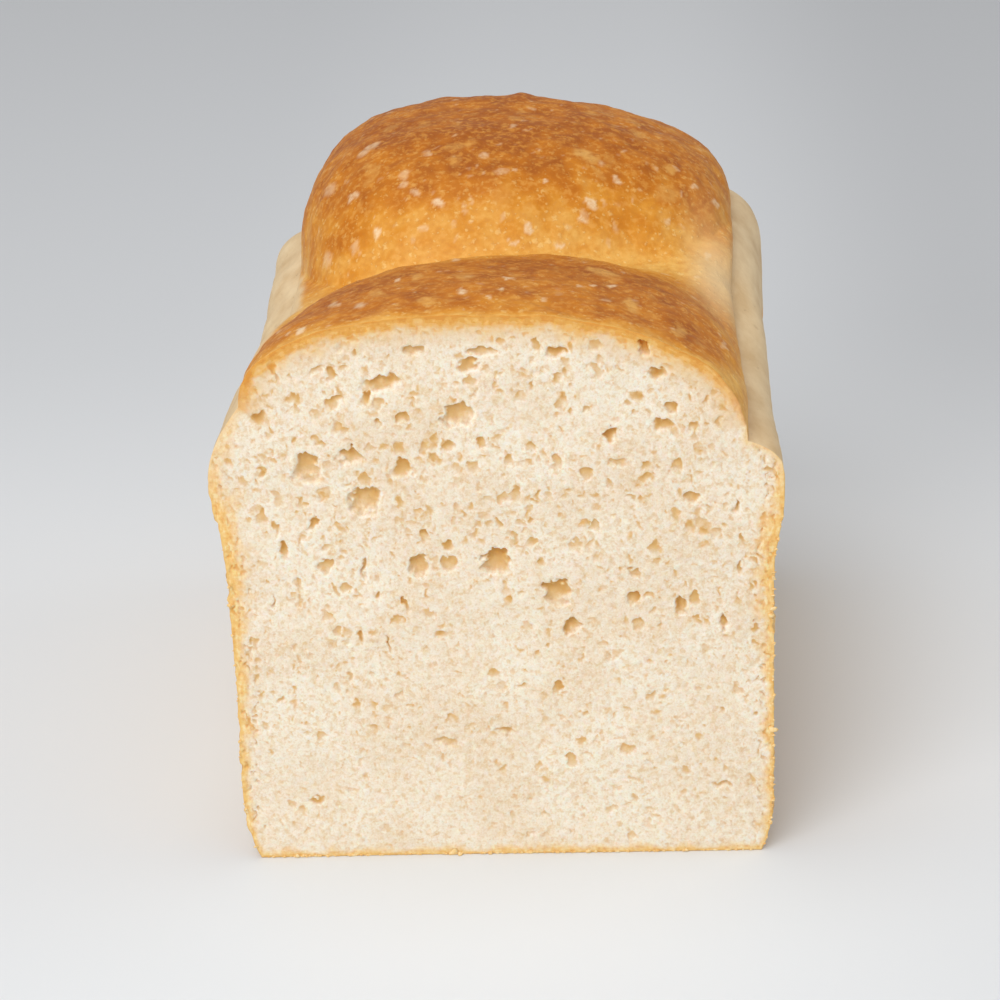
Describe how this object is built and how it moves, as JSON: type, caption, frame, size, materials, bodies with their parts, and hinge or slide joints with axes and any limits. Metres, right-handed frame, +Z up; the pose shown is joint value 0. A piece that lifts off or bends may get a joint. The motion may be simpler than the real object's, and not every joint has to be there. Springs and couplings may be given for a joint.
{
  "type": "tin loaf",
  "caption": "Tin loaf of white bread: straight sides, a humped golden-brown crown, and a flat cut face that shows the open crumb.",
  "frame": {"origin": "on the table plane, below the middle of the bounding box", "axes": "+Z up, +Y along the loaf from the cut face at the front to the baked end, +X to the right seen from the cut face"},
  "size_m": [0.12, 0.1526, 0.135],
  "materials": {
    "crust": "dry baked crust, golden brown, with a faint sheen on the crown",
    "crumb": "soft porous crumb, cream, with no shine"
  },
  "bodies": {
    "root": {"loaf": "crust"}
  },
  "joints": []
}
